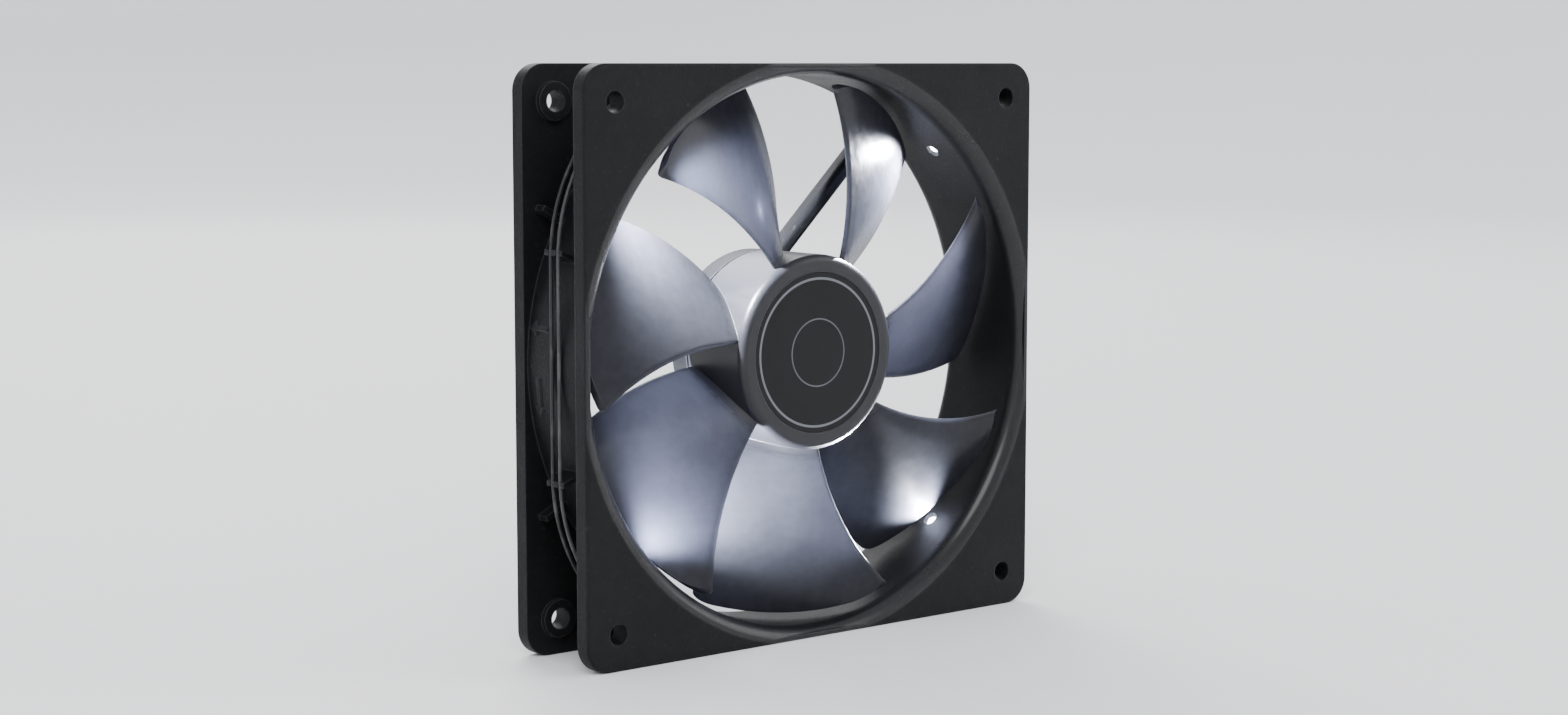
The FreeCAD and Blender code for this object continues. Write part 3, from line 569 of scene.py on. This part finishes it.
def winding(number, material):
    """The outermost layer of a coil's turns, half sunk in its CAD solid."""
    name = f"winding_{number}"
    low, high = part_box(f"coil_{number}")
    middle = (low + high) / 2
    size = high - low
    outwards = Vector((middle.x, 0, middle.z)).normalized()
    across = Vector((-outwards.z, 0, outwards.x))
    half_w = abs(size.dot(across)) / 2
    depth = abs(size.dot(outwards))
    turns = int(depth / COIL_PITCH) - 1
    turn = rounded_turn(half_w, size.y / 2, COIL_CORNER_R)
    points = []
    for n in range(turns):
        for k, (side, along) in enumerate(turn):
            share = (n + k / len(turn) + COIL_START) / (turns + COIL_SPARE) - 0.5
            points.append(middle + across * side + Vector((0, along, 0)) + outwards * (share * depth))
    add_piece(name, wire_curve(name, points, COIL_WIRE_R), material)


def turned_mesh(name, profile, place, way):
    """A solid of (distance along way, radius) pairs in millimetres, turned about a line from place."""
    steps = 24
    side = way.orthogonal().normalized()
    other = way.cross(side)
    mesh = bmesh.new()
    rings = []
    for along, r in profile:
        ring = []
        for k in range(steps):
            angle = 2 * math.pi * k / steps
            spoke = side * math.cos(angle) + other * math.sin(angle)
            ring.append(mesh.verts.new(place + way * (along * MM) + spoke * (r * MM)))
        rings.append(ring)
    for a, b in zip(rings, rings[1:]):
        for k in range(steps):
            mesh.faces.new((a[k], a[(k + 1) % steps], b[(k + 1) % steps], b[k]))
    mesh.faces.new(list(reversed(rings[0])))
    mesh.faces.new(rings[-1])
    bmesh.ops.recalc_face_normals(mesh, faces=mesh.faces)
    data = bpy.data.meshes.new(name)
    mesh.to_mesh(data)
    mesh.free()
    data.shade_smooth()
    return data


def led_line(number):
    """The tip of an LED's dome, the way that it runs outwards, and its length."""
    node = f"led_{number}"
    low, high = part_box(node)
    middle = (low + high) / 2
    outwards = Vector((middle.x, 0, middle.z)).normalized()
    reach = [spot.co.dot(outwards) for spot in NODES[node].data.vertices]
    return outwards * min(reach) + Vector((0, middle.y, 0)), outwards, max(reach) - min(reach)


def led_inside(number, metal_finish, phosphor_finish):
    """The cup with its lit phosphor, and the two leads, inside an LED's clear body."""
    tip, outwards, length = led_line(number)
    cup = f"led_cup_{number}"
    add_piece(cup, turned_mesh(cup, LED_CUP, tip, outwards), metal_finish)
    chip = f"led_phosphor_{number}"
    add_piece(chip, turned_mesh(chip, LED_PHOSPHOR, tip, outwards), phosphor_finish)
    for end, side, start in LEAD_STARTS:
        name = f"led_lead_{number}_{end}"
        route = ((start, LEAD_INNER), *LEAD_ROUTE, (length / MM, LEAD_OUTER))
        points = [tip + outwards * (out * MM) + Vector((0, side * off * MM, 0)) for out, off in route]
        add_piece(name, wire_curve(name, points, LEAD_R), metal_finish)


# Studio


def add_stage(name, data):
    """A new object that isn't part of the fan, in the scene."""
    thing = bpy.data.objects.new(name, data)
    bpy.context.scene.collection.objects.link(thing)
    return thing


def look(way):
    """The turn that points a lamp or a camera that way."""
    return way.to_track_quat("-Z", "Y").to_euler()


def floor():
    """A round pale floor that curves up into a low wall, so that no view shows its edge."""
    low = CAD_BOX[0].z
    profile = [(r, 0.0) for r in (*FLOOR_INNER_RINGS, FLOOR_FLAT_R)]
    for i in range(1, FLOOR_CURVE_STEPS + 1):
        angle = math.pi / 2 * i / FLOOR_CURVE_STEPS
        profile.append((
            FLOOR_FLAT_R + FLOOR_CURVE_R * math.sin(angle),
            FLOOR_CURVE_R * (1 - math.cos(angle)),
        ))
    profile.append((FLOOR_FLAT_R + FLOOR_CURVE_R, FLOOR_TOP))
    steps = range(FLOOR_STEPS)
    verts = [(0.0, 0.0, low)]
    for r, z in profile:
        for k in steps:
            angle = 2 * math.pi * k / FLOOR_STEPS
            verts.append((r * math.cos(angle), r * math.sin(angle), low + z))
    faces = [(0, 1 + k, 1 + (k + 1) % FLOOR_STEPS) for k in steps]
    for ring in range(len(profile) - 1):
        a = 1 + ring * FLOOR_STEPS
        b = a + FLOOR_STEPS
        faces += [(a + k, b + k, b + (k + 1) % FLOOR_STEPS, a + (k + 1) % FLOOR_STEPS) for k in steps]
    mesh = bpy.data.meshes.new("floor")
    mesh.from_pydata(verts, [], faces)
    mesh.shade_smooth()
    mesh.materials.append(floor_material())
    piece = add_stage("floor", mesh)
    return piece


def studio():
    """Three round softboxes aimed at the fan, and an even sky."""
    for name, place, size, power in SOFTBOXES:
        light = bpy.data.lights.new(name, "AREA")
        light.shape = "DISK"
        light.size = size
        light.energy = power
        lamp = add_stage(name, light)
        lamp.location = place
        lamp.rotation_euler = look(-Vector(place))
    world = bpy.data.worlds.new("studio")
    world.use_nodes = True
    sky = world.node_tree.nodes["Background"].inputs
    sky["Color"].default_value = SKY_COLOUR
    sky["Strength"].default_value = SKY_STRENGTH
    bpy.context.scene.world = world


def led_lamps(ground):
    """The light that each LED throws across the duct. It leaves the ground plain."""
    unlit = bpy.data.collections.new("not_lit_by_leds")
    unlit.objects.link(ground)
    unlit.collection_objects[0].light_linking.link_state = "EXCLUDE"
    for number in NUMBERS:
        tip, outwards, _ = led_line(number)
        light = bpy.data.lights.new(f"led_light_{number}", "SPOT")
        light.energy = LED_WATTS
        light.color = LED_COLOUR
        light.spot_size = LED_BEAM
        light.spot_blend = LED_BEAM_BLEND
        light.shadow_soft_size = LED_LAMP_R
        lamp = add_stage(light.name, light)
        lamp.location = tip - outwards * LED_LAMP_GAP
        lamp.rotation_euler = look(-outwards)
        lamp.light_linking.receiver_collection = unlit


def camera():
    """The camera, at the side and height that the fan is seen from."""
    data = bpy.data.cameras.new("camera")
    data.lens = CAMERA_LENS
    data.clip_start = CAMERA_CLIP_START
    view = add_stage("camera", data)
    view.location = Vector((0, CAD_BOX[0].y, 0)) + Vector(CAMERA_PLACE)
    view.rotation_euler = look(Vector(CAMERA_TARGET) - view.location)
    bpy.context.scene.camera = view


finishes = {slot: make(slot, **choices) for slot, (make, choices) in SLOTS.items()}
dress_nodes(finishes)
lit_phosphor = phosphor()
for number in NUMBERS:
    winding(number, finishes["copper"])
    led_inside(number, finishes["solder"], lit_phosphor)
ground = floor()
studio()
led_lamps(ground)
camera()
